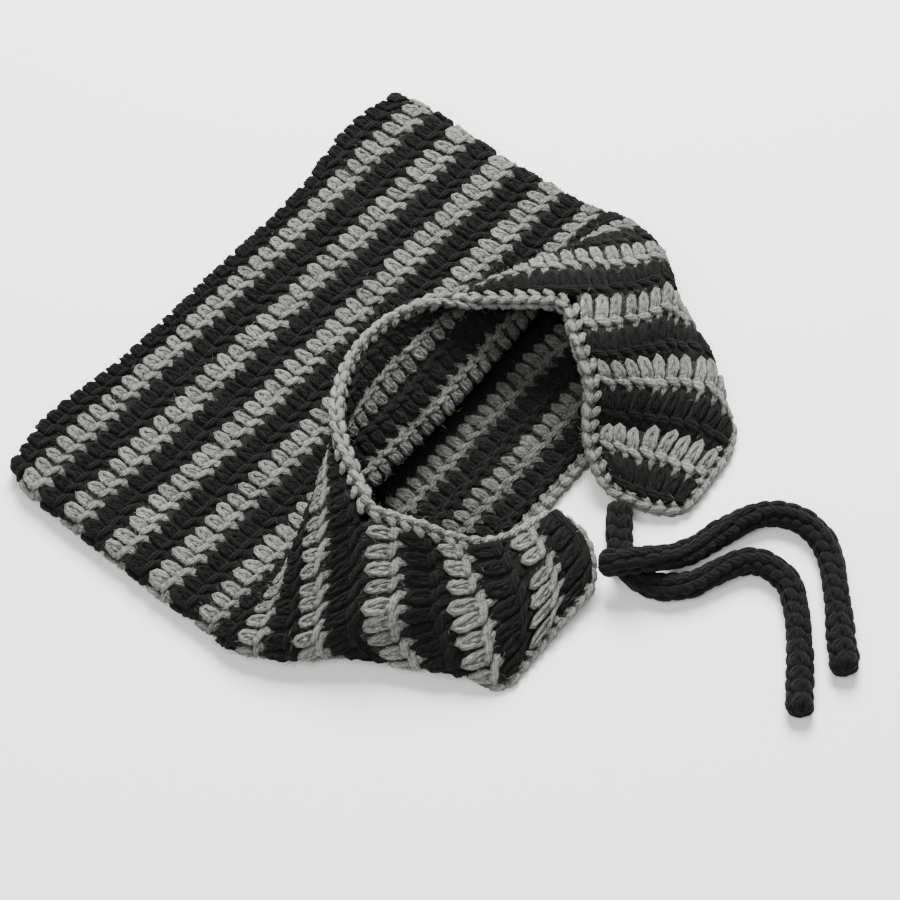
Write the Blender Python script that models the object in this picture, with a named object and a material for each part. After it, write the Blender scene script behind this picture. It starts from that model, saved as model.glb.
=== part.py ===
# Crochet earflap beanie, lying on its back with the forehead band turned up.
# Metres, +Z up. The origin is the middle of the flat underside: the floor under the middle row
# of the bag. +Y runs to the crown seam, X runs across, and the right ear flap is at +X.

import functools
import math

import bmesh
import bpy
import numpy as np

# Sizes that can be set by themselves
FLAT_WIDTH = 0.270       # the bag laid flat, side fold to side fold
ROW_HEIGHT = 0.01284     # one crocheted row, crown side to neck side
WALL = 0.0046            # thickness of the crocheted fabric
PANEL_GAP = 0.0028       # air between the two panels where the bag lies flat
RIM_RISE = 0.041         # height of the turned-up rim's middle
ROW_GAP = 0.0003         # clearance between neighbouring rows
EDGING_WIDTH = 0.0056    # the chain edging, measured out from the fabric's edge
EDGING_THICKNESS = 0.0052
EDGING_GAP = 0.0005
CORD_DIAMETER = 0.010

BAG_ROWS = 15            # rows round the whole hat, front and back
FLAP_ROWS = 6            # rows that only the ear flaps have
MIDDLE_ROW = 7.5         # the origin lies under this place, counted in rows from the crown
FLAT_ROWS = 9            # these lie flat, and the later rows are bent
FLAP_ROOT_ROWS = 1.5     # a flap's curve starts so many rows above the bag's edge
FLAP_BLEND_ROWS = 3.0    # over so many rows a flap leaves the curve of the bag's edge
CROWN_SHOULDER = 0.45    # the part of row 1 above which its two panels close in a ridge
CROWN_INNER = 0.3        # how far the ridge is hollow, as a share of its height

HALF_WIDTH = FLAT_WIDTH / 2
BACK_LEVEL = WALL / 2
FRONT_LEVEL = BACK_LEVEL + WALL + PANEL_GAP
FOLD_RADIUS = (FRONT_LEVEL - BACK_LEVEL) / 2
FOLD_LEVEL = (FRONT_LEVEL + BACK_LEVEL) / 2
FOLD_START = HALF_WIDTH - FOLD_RADIUS * math.pi / 2
LAST_ROW = BAG_ROWS + FLAP_ROWS
WHOLE_ROUND = 4.0        # all the way round the hat, in half widths
SHARP_EDGE = math.radians(50)

# Places round the hat, as shares of the half width: 0 is the middle of the forehead, 1 the side
# fold and 2 the middle of the nape. The left side has the same places with a minus sign.
COLUMNS = (0.0, 0.333, 0.556, 0.704, 0.852, 1.0, 1.148, 1.481, 2.0)
FLAP_FRONT = 0.704
FLAP_BACK = 1.444
FLAP_COLUMNS = (0.0, 1 / 3, 2 / 3, 1.0)

# How far the fabric is moved from lying flat. One table row for each section of the hat, and in
# it one entry for each place in COLUMNS: across in half widths (+ is outwards), along in row
# heights (+ is towards the neck), lift in rim rises. Row 0 shapes the crown's rounded corners.
STILL = (0.0, 0.0, 0.0)
CROWN_SECTIONS = (
    # row, forehead, brow, temple, corner, ear, side, behind, nape corner, nape
    (0.0, ((0.0, 0.52, 0.0), (0.0, 0.45, 0.0), (0.0, 0.0, 0.0), (0.0, -0.32, 0.0),
           (0.0, -0.22, 0.0), (-0.05, 0.55, 0.0), (0.0, -0.22, 0.0), (0.0, 0.1, 0.0),
           (0.0, 0.52, 0.0))),
    (3.0, (STILL,) * 9),
    (8.0, (STILL,) * 9),
    (8.8, (STILL,) * 9),
)
RIGHT_SECTIONS = CROWN_SECTIONS + (
    (9.7, (STILL, STILL, (0.0, 0.05, 0.01), (0.01, -0.1, 0.04), (0.01, -0.25, 0.08),
           (0.01, -0.15, 0.05), STILL, STILL, STILL)),
    (10.7, ((0.0, -0.08, 0.07), (-0.01, -0.13, 0.07), (0.01, -0.25, 0.09), (0.02, -0.55, 0.15),
            (0.03, -0.6, 0.2), (0.03, -0.22, 0.1), (0.01, 0.0, 0.0), STILL, STILL)),
    (11.25, ((0.0, -0.32, 0.175), (-0.01, -0.4, 0.18), (0.01, -0.57, 0.2), (0.02, -0.95, 0.29),
             (0.03, -0.92, 0.28), (0.03, -0.32, 0.12), (0.02, 0.0, 0.0), STILL, STILL)),
    (11.8, ((0.0, -1.25, 0.275), (-0.01, -1.4, 0.29), (0.0, -1.45, 0.33), (0.02, -1.5, 0.39),
            (0.02, -1.27, 0.35), (0.02, -0.5, 0.12), (0.01, 0.0, 0.0), STILL, STILL)),
    (12.3, ((0.0, -2.3, 0.31), (-0.01, -2.45, 0.33), (0.0, -2.45, 0.42), (0.02, -2.05, 0.47),
            (0.0, -1.55, 0.42), (0.02, -0.6, 0.12), (0.01, 0.0, 0.0), STILL, STILL)),
    (13.5, ((0.0, -4.5, 0.52), (0.0, -4.6, 0.62), (-0.01, -3.75, 0.7), (-0.03, -2.9, 0.68),
            (-0.07, -1.65, 0.59), (-0.08, -0.95, 0.41), (0.07, -0.25, 0.04), (0.01, 0.0, 0.0),
            STILL)),
    (15.0, ((0.0, -7.2, 0.74), (-0.04, -6.15, 0.74), (-0.11, -4.45, 0.78), (-0.14, -2.9, 0.78),
            (-0.18, -1.95, 0.64), (-0.2, -1.35, 0.49), (0.02, -0.7, 0.09), (0.01, 0.0, 0.0),
            STILL)),
)
LEFT_SECTIONS = CROWN_SECTIONS + (
    (9.7, (STILL, STILL, (-0.01, 0.15, 0.01), (-0.01, 0.15, 0.01), (-0.01, 0.15, 0.01),
           (-0.01, 0.15, 0.0), STILL, STILL, STILL)),
    (10.7, ((0.0, -0.08, 0.07), (-0.01, -0.13, 0.07), (0.0, -0.2, 0.075), (0.0, -0.2, 0.075),
            (0.0, -0.2, 0.06), (0.0, -0.15, 0.015), STILL, STILL, STILL)),
    (11.25, ((0.0, -0.32, 0.175), (-0.01, -0.4, 0.18), (0.01, -0.45, 0.19), (0.0, -0.45, 0.18),
             (-0.01, -0.38, 0.13), (-0.01, -0.25, 0.03), STILL, STILL, STILL)),
    (11.8, ((0.0, -1.25, 0.275), (-0.01, -1.4, 0.29), (0.0, -1.3, 0.32), (-0.015, -1.08, 0.31),
            (-0.035, -0.67, 0.165), (-0.04, -0.25, 0.04), (-0.015, 0.0, 0.0), STILL, STILL)),
    (12.3, ((0.0, -2.3, 0.31), (0.0, -2.35, 0.33), (0.0, -2.1, 0.41), (-0.03, -1.6, 0.4),
            (-0.06, -0.9, 0.21), (-0.07, -0.2, 0.05), (-0.03, 0.0, 0.0), STILL, STILL)),
    (13.5, ((0.0, -4.5, 0.52), (-0.02, -4.3, 0.6), (-0.04, -3.1, 0.63), (-0.06, -2.3, 0.54),
            (-0.11, -1.5, 0.3), (-0.16, -0.6, 0.1), (-0.08, 0.0, 0.02), (-0.01, 0.0, 0.0),
            STILL)),
    (15.0, ((0.0, -7.2, 0.74), (-0.01, -5.65, 0.75), (-0.13, -4.0, 0.81), (-0.22, -2.9, 0.79),
            (-0.27, -2.15, 0.59), (-0.33, -1.25, 0.39), (-0.14, 0.05, 0.07), (-0.01, 0.05, 0.0),
            STILL)),
)

# The ear flaps, curled in towards each other. One table row for each section, and in it one entry
# for each place in FLAP_COLUMNS, front edge to back edge: across in half widths, along in row
# heights from the crown, up in rim rises.
RIGHT_FLAP = (
    # row, front edge, front third, back third, back edge
    (16.5, ((0.46, 13.5, 0.93), (0.64, 14.5, 0.68), (0.8, 15.75, 0.25), (0.66, 16.2, 0.07))),
    (18.0, ((0.39, 14.6, 0.73), (0.53, 15.85, 0.54), (0.65, 17.2, 0.28), (0.63, 18.1, 0.1))),
    (19.5, ((0.29, 15.3, 0.44), (0.36, 16.4, 0.32), (0.42, 17.55, 0.21), (0.47, 18.7, 0.1))),
    (21.0, ((0.21, 16.7, 0.22), (0.22, 17.45, 0.2), (0.25, 18.25, 0.15), (0.3, 18.95, 0.1))),
)
LEFT_FLAP = (
    # row, front edge, front third, back third, back edge
    (16.5, ((0.44, 13.75, 0.95), (0.53, 14.9, 0.68), (0.62, 16.45, 0.24), (0.56, 16.45, 0.07))),
    (18.0, ((0.36, 14.9, 0.83), (0.4, 16.3, 0.63), (0.47, 17.7, 0.27), (0.5, 18.35, 0.1))),
    (19.5, ((0.18, 15.9, 0.59), (0.21, 17.1, 0.44), (0.27, 17.87, 0.26), (0.335, 18.3, 0.13))),
    (21.0, ((0.01, 16.05, 0.41), (0.01, 17.1, 0.33), (0.06, 18.03, 0.29), (0.115, 18.47, 0.21))),
)
SIDES = {1: RIGHT_SECTIONS, -1: LEFT_SECTIONS}
FLAPS = {1: RIGHT_FLAP, -1: LEFT_FLAP}

# How far the bends between table entries are rounded, round the hat and in rows, and the spans
# over which the directions of the fabric are read
PLACE_SOFTNESS = 0.11
ROW_SOFTNESS = 0.5
PLACE_STEP = 0.03
ROW_STEP = 0.2

# Places at which the solids have an edge: front panel, round the side fold, back panel
PANEL_STEPS = (0.0, 0.14, 0.28, 0.4, 0.48, 2 - FLAP_BACK, FLAP_FRONT, 0.79, 0.85, 0.9)
FOLD_STEPS = 4
EDGING_SIDES = 6

# The cords' own points, in metres: across, along and up. The left cord starts beside the right
# one and passes over it in a low hump, then both lie on the floor.
FLOOR = CORD_DIAMETER / 2 + 0.0002
LEFT_CORD_ROUTE = (
    (-0.0068, -0.1416, 0.0134), (-0.0034, -0.1462, 0.0157), (0.0006, -0.1506, 0.0165),
    (0.0050, -0.1542, 0.0157), (0.0104, -0.1576, 0.0130), (0.0164, -0.1606, 0.0092),
    (0.0230, -0.1634, 0.0061), (0.0305, -0.1659, FLOOR), (0.0395, -0.1682, FLOOR),
    (0.0496, -0.1716, FLOOR), (0.0594, -0.1770, FLOOR), (0.0662, -0.1856, FLOOR),
    (0.0682, -0.1960, FLOOR), (0.0646, -0.2074, FLOOR), (0.0560, -0.2176, FLOOR),
    (0.0446, -0.2276, FLOOR), (0.0330, -0.2380, FLOOR), (0.0214, -0.2480, FLOOR),
)
RIGHT_CORD_ROUTE = (
    (0.0216, -0.1276, 0.0068), (0.0134, -0.1340, 0.0056), (0.0066, -0.1398, FLOOR),
    (0.0016, -0.1466, FLOOR), (-0.0002, -0.1548, FLOOR), (0.0020, -0.1630, FLOOR),
    (0.0076, -0.1702, FLOOR), (0.0158, -0.1756, FLOOR), (0.0260, -0.1796, FLOOR),
    (0.0356, -0.1844, FLOOR), (0.0412, -0.1928, FLOOR), (0.0410, -0.2028, FLOOR),
    (0.0342, -0.2130, FLOOR), (0.0225, -0.2234, FLOOR), (0.0080, -0.2346, FLOOR),
    (-0.0060, -0.2444, FLOOR),
)
CORD_POINT_STEP = 1.2 * CORD_DIAMETER
CORD_SOFTNESS = 0.6 * CORD_DIAMETER


def shade(name, colour, roughness):
    """A plain yarn colour."""
    made = bpy.data.materials.new(name)
    made.use_nodes = True
    surface = made.node_tree.nodes["Principled BSDF"]
    surface.inputs["Base Color"].default_value = (*colour, 1.0)
    surface.inputs["Roughness"].default_value = roughness
    return made


def smooth(places, values, at):
    """Read a smooth line through values at the given places; it never swings past a value."""
    places = np.asarray(places, float)
    values = np.asarray(values, float)
    last = len(places) - 1
    index = int(np.clip(np.searchsorted(places, at, side="right") - 1, 0, last - 1))
    width = places[index + 1] - places[index]

    def slope(corner):
        first = max(corner - 1, 0)
        second = min(corner, last - 1)
        before = (values[first + 1] - values[first]) / (places[first + 1] - places[first])
        after = (values[second + 1] - values[second]) / (places[second + 1] - places[second])
        same_way = before * after > 0
        total = np.where(same_way, before + after, 1.0)
        return np.where(same_way, 2 * before * after / total, 0.0)

    share = (at - places[index]) / width
    return (
        values[index] * (1 + 2 * share) * (1 - share) ** 2
        + slope(index) * width * share * (1 - share) ** 2
        + values[index + 1] * share ** 2 * (3 - 2 * share)
        + slope(index + 1) * width * share ** 2 * (share - 1)
    )


def soft(places, values, at, reach):
    """The same line with its bends rounded over a reach to both sides."""
    before, here, after = (smooth(places, values, at + step) for step in (-reach, 0.0, reach))
    return (before + 2 * here + after) / 4


def unit(vector):
    return vector / np.linalg.norm(vector)


def square_to(direction, line):
    """The part of a direction that is at right angles to a line."""
    return unit(direction - line * np.dot(direction, line))


def flat_bag(row, place):
    """The bag laid flat: front panel, round side fold, back panel."""
    reach = abs(place) * HALF_WIDTH
    inner = HALF_WIDTH - FOLD_RADIUS
    if reach <= FOLD_START:
        across, up = reach * inner / FOLD_START, FRONT_LEVEL
    elif reach >= 2 * HALF_WIDTH - FOLD_START:
        across, up = (2 * HALF_WIDTH - reach) * inner / FOLD_START, BACK_LEVEL
    else:
        turn = (reach - FOLD_START) / FOLD_RADIUS
        across = inner + FOLD_RADIUS * math.sin(turn)
        up = FOLD_LEVEL + FOLD_RADIUS * math.cos(turn)
    side = math.copysign(1, place)
    return np.array((side * across, (MIDDLE_ROW - row) * ROW_HEIGHT, up))


@functools.lru_cache(maxsize=None)
def bag_moves(row):
    """The moves of the whole round at this row in metres, and the places that they belong to."""
    both = []
    for sign, sections in SIDES.items():
        rows = [section[0] for section in sections]
        moves = soft(rows, [section[1] for section in sections], row, ROW_SOFTNESS)
        both.append(moves * np.array((sign * HALF_WIDTH, -ROW_HEIGHT, RIM_RISE)))
    right, left = both
    places = [-column for column in COLUMNS[:0:-1]] + list(COLUMNS)
    moves = list(left[:0:-1]) + list(right)
    places = [places[-2] - WHOLE_ROUND] + places + [places[1] + WHOLE_ROUND]
    moves = [moves[-2]] + moves + [moves[1]]
    return places, np.array(moves)


def bag(row, place):
    """A point in the middle of the fabric of the bag."""
    places, moves = bag_moves(row)
    return flat_bag(row, place) + soft(places, moves, place, PLACE_SOFTNESS)


@functools.lru_cache(maxsize=None)
def flap_columns(sign, row):
    """Points of an ear flap at its four columns at this row."""
    sections = FLAPS[sign]
    above = BAG_ROWS - FLAP_ROOT_ROWS
    roots = [FLAP_FRONT + (FLAP_BACK - FLAP_FRONT) * share for share in FLAP_COLUMNS]
    stack = [[bag(level, sign * root) for root in roots] for level in (above, BAG_ROWS)]
    for _, entries in sections:
        stack.append([
            (sign * across * HALF_WIDTH, (MIDDLE_ROW - down) * ROW_HEIGHT, up * RIM_RISE)
            for across, down, up in entries
        ])
    rows = [above, BAG_ROWS] + [section[0] for section in sections]
    return soft(rows, stack, row, ROW_SOFTNESS)


def flap(row, place):
    """A point in the middle of the fabric of an ear flap."""
    flap_width = FLAP_BACK - FLAP_FRONT
    share = (abs(place) - FLAP_FRONT) / flap_width
    plain, root = (
        soft(FLAP_COLUMNS, flap_columns(math.copysign(1, place), level), share,
             PLACE_SOFTNESS / flap_width)
        for level in (row, BAG_ROWS)
    )
    leave = min(max((row - BAG_ROWS) / FLAP_BLEND_ROWS, 0.0), 1.0)
    return plain + (bag(BAG_ROWS, place) - root) * (1 - leave * leave * (3 - 2 * leave))


def on_flap(place):
    """Whether an ear flap hangs from this place, its two edges included."""
    rounding = 1e-9
    return FLAP_FRONT - rounding <= abs(place) <= FLAP_BACK + rounding


def fabric(row, place):
    """A point in the middle of the fabric: the bag, and below its last row the ear flaps."""
    if row > BAG_ROWS and on_flap(place):
        return flap(row, place)
    return bag(row, place)


def framed(row, place):
    """A point with its directions: round the hat, down the rows, and out of the fabric."""
    before, after = place - PLACE_STEP, place + PLACE_STEP
    if row > BAG_ROWS:
        low, high = sorted((math.copysign(FLAP_FRONT, place), math.copysign(FLAP_BACK, place)))
        before, after = max(before, low), min(after, high)
    round_way = unit(fabric(row, after) - fabric(row, before))
    down_way = unit(fabric(row + ROW_STEP, place) - fabric(row - ROW_STEP, place))
    return fabric(row, place), round_way, down_way, unit(np.cross(down_way, round_way))


def ring_places():
    """All places round the hat, from the forehead over the right side, the nape and the left."""
    start = FOLD_START / HALF_WIDTH
    turns = [start + (2 - 2 * start) * step / FOLD_STEPS for step in range(FOLD_STEPS + 1)]
    half = list(PANEL_STEPS) + turns + [2 - step for step in PANEL_STEPS[::-1]]
    return half + [-step for step in half[-2:0:-1]]


def flap_places(sign):
    """The same places on one ear flap, so that it meets the bag edge to edge."""
    return [place for place in ring_places() if on_flap(place) and place * sign > 0]


def on_floor(point):
    """Cloth lies flat where it meets the floor."""
    return (point[0], point[1], max(point[2], 0.0))


def fabric_line(builder, row, places, shift=0.0):
    """Vertices of the outer and of the inner side of the fabric, along one row line."""
    outer, inner = [], []
    for place in places:
        here, _, down_way, out_way = framed(row, place)
        middle = here + down_way * shift
        outer.append(builder.verts.new(on_floor(middle + out_way * WALL / 2)))
        inner.append(builder.verts.new(on_floor(middle - out_way * WALL / 2)))
    return outer, inner


def add_strip(builder, first, second, closed, triangles=False):
    """Faces between two lines of vertices."""
    count = len(first)
    for index in range(count if closed else count - 1):
        after = (index + 1) % count
        corners = (first[index], first[after], second[after], second[index])
        if triangles:
            builder.faces.new(corners[:3])
            builder.faces.new((corners[0], corners[2], corners[3]))
        else:
            builder.faces.new(corners)


def add_wall(builder, lines, closed):
    """The faces of a wall from its lines, each an outer and an inner list of vertices."""
    for (outer, inner), (next_outer, next_inner) in zip(lines, lines[1:]):
        add_strip(builder, outer, next_outer, closed)
        add_strip(builder, inner, next_inner, closed)
    for outer, inner in (lines[0], lines[-1]):
        add_strip(builder, outer, inner, closed, triangles=True)
    if not closed:
        first_edge = [(outer[0], inner[0]) for outer, inner in lines]
        last_edge = [(outer[-1], inner[-1]) for outer, inner in reversed(lines)]
        for edge in (first_edge, last_edge):
            outer, inner = zip(*edge)
            add_strip(builder, outer, inner, closed=False, triangles=True)


def finish(name, builder, material):
    """Turn a bmesh into a named object with its material."""
    bmesh.ops.recalc_face_normals(builder, faces=builder.faces)
    mesh = bpy.data.meshes.new(name)
    builder.to_mesh(mesh)
    builder.free()
    mesh.materials.append(material)
    mesh.shade_smooth()
    mesh.set_sharp_from_angle(angle=SHARP_EDGE)
    bpy.context.collection.objects.link(bpy.data.objects.new(name, mesh))


def row_steps(number):
    """How many strips of faces a crocheted row has from its crown side to its neck side."""
    if number <= FLAT_ROWS:
        return 1
    return 2 if number <= BAG_ROWS else 3


def crocheted_row(name, number, places, closed, material):
    """One crocheted row, all round the hat or across one ear flap."""
    builder = bmesh.new()
    steps = row_steps(number)
    lines = [fabric_line(builder, number - 1, places, ROW_GAP / 2)]
    for step in range(1, steps):
        lines.append(fabric_line(builder, number - 1 + step / steps, places))
    lines.append(fabric_line(builder, number, places, -ROW_GAP / 2))
    add_wall(builder, lines, closed)
    finish(name, builder, material)


def crown_row(name, material):
    """The first row, closed along the crown seam like the end of a bag."""
    builder = bmesh.new()
    places = ring_places()
    shoulder = fabric_line(builder, CROWN_SHOULDER, places)
    last = fabric_line(builder, 1, places, -ROW_GAP / 2)
    ridge_rise = CROWN_SHOULDER * ROW_HEIGHT
    for line, next_line, rise in zip(shoulder, last, (ridge_rise, ridge_rise * CROWN_INNER)):
        add_strip(builder, line, next_line, closed=True)
        half = len(line) // 4
        front = [line[index] for index in range(-half, half + 1)]
        back = [line[-half - step] for step in range(2 * half + 1)]
        ridge = [front[0]]
        for fore, aft in zip(front[1:-1], back[1:-1]):
            middle = (fore.co + aft.co) / 2
            ridge.append(builder.verts.new((middle.x, middle.y + rise, FOLD_LEVEL)))
        ridge.append(front[-1])
        for rail in (front, back):
            for index in range(2 * half):
                corners = (rail[index], rail[index + 1], ridge[index + 1], ridge[index])
                builder.faces.new(tuple(dict.fromkeys(corners)))
    add_strip(builder, *last, closed=True, triangles=True)
    finish(name, builder, material)


def edging_stations():
    """Points of the hat's edge, with the ways out past the edge and out of the fabric."""
    stations = []

    def take(row, place, *ways_past):
        here, round_way, down_way, out_way = framed(row, place)
        sideways = square_to(round_way, down_way) * math.copysign(1, place)
        ways = {"down": square_to(down_way, round_way), "front": -sideways, "back": sideways}
        stations.append((here, unit(sum(ways[way] for way in ways_past)), out_way))

    corner_room = EDGING_WIDTH / HALF_WIDTH
    steps = row_steps(LAST_ROW)
    flap_lines = [BAG_ROWS + step / steps for step in range(1, steps * FLAP_ROWS)]
    forehead = [place for place in ring_places() if abs(place) < FLAP_FRONT - corner_room]
    nape = [place for place in ring_places() if abs(place) > FLAP_BACK + corner_room]
    right_half = [(BAG_ROWS, place, "down") for place in forehead if place >= 0]
    right_half += [(row, FLAP_FRONT, "front") for row in flap_lines]
    right_half += [(LAST_ROW, FLAP_FRONT, *ways)
                   for ways in (("front",), ("front", "down"), ("down",))]
    right_half += [(LAST_ROW, place, "down") for place in flap_places(1)[1:-1:2]]
    right_half += [(LAST_ROW, FLAP_BACK, *ways)
                   for ways in (("down",), ("down", "back"), ("back",))]
    right_half += [(row, FLAP_BACK, "back") for row in flap_lines[::-1]]
    right_half += [(BAG_ROWS, place, "down") for place in nape if place > 0]
    for station in right_half:
        take(*station)
    for row, place, *ways in right_half[-2:0:-1]:
        take(row, -place, *ways)
    return stations


def edging(name, material):
    """The chain edging, one closed roll round the whole opening."""
    builder = bmesh.new()
    rings = []
    for here, past, out_way in edging_stations():
        middle = here + past * (EDGING_WIDTH / 2 + EDGING_GAP)
        ring = []
        for side in range(EDGING_SIDES):
            turn = 2 * math.pi * (side + 0.5) / EDGING_SIDES
            offset = past * math.cos(turn) * EDGING_WIDTH / 2
            offset = offset + out_way * math.sin(turn) * EDGING_THICKNESS / 2
            ring.append(builder.verts.new(on_floor(middle + offset)))
        rings.append(ring)
    for ring, next_ring in zip(rings, rings[1:] + rings[:1]):
        add_strip(builder, ring, next_ring, closed=True, triangles=True)
    finish(name, builder, material)


def cord_points(route):
    """Points at even steps along a smooth line through the route."""
    route = np.array(route)
    steps = np.linalg.norm(np.diff(route, axis=0), axis=1)
    lengths = np.concatenate(([0.0], np.cumsum(steps)))
    count = max(2, round(lengths[-1] / CORD_POINT_STEP))
    return [soft(lengths, route, lengths[-1] * step / count, CORD_SOFTNESS)
            for step in range(count + 1)]


def cord(name, route, material):
    """A crocheted cord as a plain round tube along its route."""
    curve = bpy.data.curves.new(name, "CURVE")
    curve.dimensions = "3D"
    curve.bevel_depth = CORD_DIAMETER / 2
    curve.bevel_resolution = 3
    curve.use_fill_caps = True
    line = curve.splines.new("POLY")
    points = cord_points(route)
    line.points.add(len(points) - 1)
    for spot, point in zip(line.points, points):
        spot.co = (*point, 1.0)
    curve.materials.append(material)
    bpy.context.collection.objects.link(bpy.data.objects.new(name, curve))


for old in list(bpy.data.objects):
    bpy.data.objects.remove(old, do_unlink=True)

black_yarn = shade("black_yarn", (0.016, 0.016, 0.015), 0.9)
grey_yarn = shade("grey_yarn", (0.27, 0.27, 0.26), 0.9)

# Black and grey rows take turns, black first, from the crown to the tips of the flaps.
for number in range(1, LAST_ROW + 1):
    is_black = number % 2 == 1
    yarn = black_yarn if is_black else grey_yarn
    row_name = f"row_{number:02d}_{'black' if is_black else 'grey'}"
    if number == 1:
        crown_row(row_name, yarn)
    elif number <= BAG_ROWS:
        crocheted_row(row_name, number, ring_places(), True, yarn)
    else:
        crocheted_row(f"right_flap_{row_name}", number, flap_places(1), False, yarn)
        crocheted_row(f"left_flap_{row_name}", number, flap_places(-1), False, yarn)

edging("edging_grey", grey_yarn)
cord("right_cord", RIGHT_CORD_ROUTE, black_yarn)
cord("left_cord", LEFT_CORD_ROUTE, black_yarn)
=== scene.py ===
import math

import bmesh
import bpy
import numpy as np
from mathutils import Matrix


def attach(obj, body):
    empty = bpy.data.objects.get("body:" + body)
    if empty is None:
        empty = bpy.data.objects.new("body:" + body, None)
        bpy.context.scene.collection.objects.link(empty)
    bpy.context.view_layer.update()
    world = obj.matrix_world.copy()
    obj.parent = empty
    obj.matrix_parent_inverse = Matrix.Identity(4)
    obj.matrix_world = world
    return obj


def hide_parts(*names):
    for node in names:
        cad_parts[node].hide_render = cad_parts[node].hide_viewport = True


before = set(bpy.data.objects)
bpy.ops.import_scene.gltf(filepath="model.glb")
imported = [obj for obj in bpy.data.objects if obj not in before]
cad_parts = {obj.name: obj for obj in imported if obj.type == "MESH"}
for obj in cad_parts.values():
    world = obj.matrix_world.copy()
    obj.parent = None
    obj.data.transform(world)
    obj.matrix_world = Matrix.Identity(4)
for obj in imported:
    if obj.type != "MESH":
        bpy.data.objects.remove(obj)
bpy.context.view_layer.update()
bpy.ops.object.select_all(action="DESELECT")

# Camera, floor and light
# The beanie lies on a white table top. It is seen from in front of its left side and from well
# above, through a long lens, under the even light of a product photograph.

LOOKED_AT = (0.0002, -0.0500, 0.0)
CAMERA_PLACE = (-0.4817, -0.4481, 1.0825)
LENS_MM = 113.1
SENSOR_MM = 36.0
TABLE_SIZE = 8.0
LIT_SPOT = (0.0, -0.04, 0.0)
ROOM_LIGHT = 0.42
# name, place, size across, watts: a broad soft box on the right, a weaker one on the left
SOFT_BOXES = (
    ("soft_box_right", (0.8, 0.5, 1.15), 0.8, 86.0),
    ("soft_box_left", (-0.9, -0.1, 1.5), 1.2, 24.0),
)


def linear(hex_colour):
    """A hex sRGB colour as linear red, green, blue and alpha."""
    parts = [int(hex_colour[index:index + 2], 16) / 255 for index in (1, 3, 5)]
    return (*[part / 12.92 if part <= 0.04045 else ((part + 0.055) / 1.055) ** 2.4
              for part in parts], 1.0)


def add_node(tree, kind, settings, sockets):
    """Add a node, with its settings and with values or links for its sockets."""
    made = tree.nodes.new(kind)
    for name, value in settings.items():
        setattr(made, name, value)
    for name, value in sockets.items():
        if isinstance(value, bpy.types.NodeSocket):
            tree.links.new(value, made.inputs[name])
        else:
            made.inputs[name].default_value = value
    return made


def look_at(thing, place, target):
    """Put a camera or lamp at a place and turn it to a target."""
    away = np.subtract(place, target)
    thing.location = place
    thing.rotation_euler = (math.atan2(math.hypot(away[0], away[1]), away[2]), 0.0,
                            math.atan2(away[0], -away[1]))


bpy.ops.object.camera_add()
camera = bpy.context.object
camera.data.lens = LENS_MM
camera.data.sensor_width = SENSOR_MM
camera.data.clip_start = 0.01
look_at(camera, CAMERA_PLACE, LOOKED_AT)
bpy.context.scene.camera = camera

bpy.ops.mesh.primitive_plane_add(size=TABLE_SIZE, location=(0.0, 0.0, 0.0))
floor = bpy.context.object
floor.name = "table_top"
# White laminate, pressed on board with a matt finish: evenly pale, it mirrors no lamp
table_white = bpy.data.materials.new("matt_white_laminate")
table_white.use_nodes = True
table_surface = table_white.node_tree.nodes["Principled BSDF"].inputs
table_surface["Base Color"].default_value = linear("#F4F4F3")
table_surface["Roughness"].default_value = 0.8
floor.data.materials.append(table_white)

for lamp_name, lamp_place, lamp_size, lamp_power in SOFT_BOXES:
    bpy.ops.object.light_add(type="AREA")
    lamp = bpy.context.object
    lamp.name = lamp_name
    lamp.data.size = lamp_size
    lamp.data.energy = lamp_power
    look_at(lamp, lamp_place, LIT_SPOT)

sky = bpy.data.worlds.new("even_room_light")
sky.use_nodes = True
sky_light = sky.node_tree.nodes["Background"].inputs
sky_light["Color"].default_value = linear("#FFFFFF")
sky_light["Strength"].default_value = ROOM_LIGHT
bpy.context.scene.world = sky

# Cords
# One thick cord of black wool hangs from the tip of each ear flap, crocheted on at its edging. It
# is worked as a round tube from doubled yarn, so rows of V shaped links run along it, and both
# cords lie loose on the table.

MM = 0.001
CORD_DIAMETER = 0.010
FLOOR = CORD_DIAMETER / 2 + 0.0002  # its middle line's height where it lies on the table
CORD_SOFTNESS = 0.6 * CORD_DIAMETER  # how far its bends are rounded
CORD_POINTS = 241       # points of its middle line
CORD_END_POINTS = 8     # its ways on at both ends are read over so many of them
CORD_NECK = 0.0030      # so far its first stitches reach into the flap's edging
CORD_TAIL = 0.0022      # and its last ones past its end
CORD_TWIST = 4.0        # radians by which its rows of links turn round it
CORD_LINK = 0.0062      # length of one link
CORD_COLUMNS = 3        # rows of links round it
LINK_RADIUS = 0.0040    # the links' middle lines from the cord's middle
LINK_LOW = 0.0030       # their lowest yarn that shows, from the cord's middle
LINK_RELIEF = 0.0022    # and how much higher their highest yarn is
LINK_TURN = 0.06        # how unevenly they are turned round the cord, in radians
LINK_SIZES = 0.05       # and how uneven their sizes are
FIRST_LINK = 0.0038     # no link's middle is nearer to the cord's start
LAST_LINK = 0.0036      # or to its end
CORE_RADIUS = 0.0046
CORE_END = 0.05         # its core's radius at both ends, as a share
CORE_STEPS = 40         # rings along its core, with closer ones at both ends
CORE_SIDES = 12
# Painted shade: the cord's core, under its links, gets a low tone
CORE_TONE = 0.3
END_ROUNDING = 0.0040   # the links close in over this length at both ends
CORD_HAIR = 0.0022      # its longest loose hairs
END_SWELL = {"right_cord": 0.04, "left_cord": 0.13}  # so much thicker
SWELL_LENGTH = 0.035    # are its last 35 mm
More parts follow.
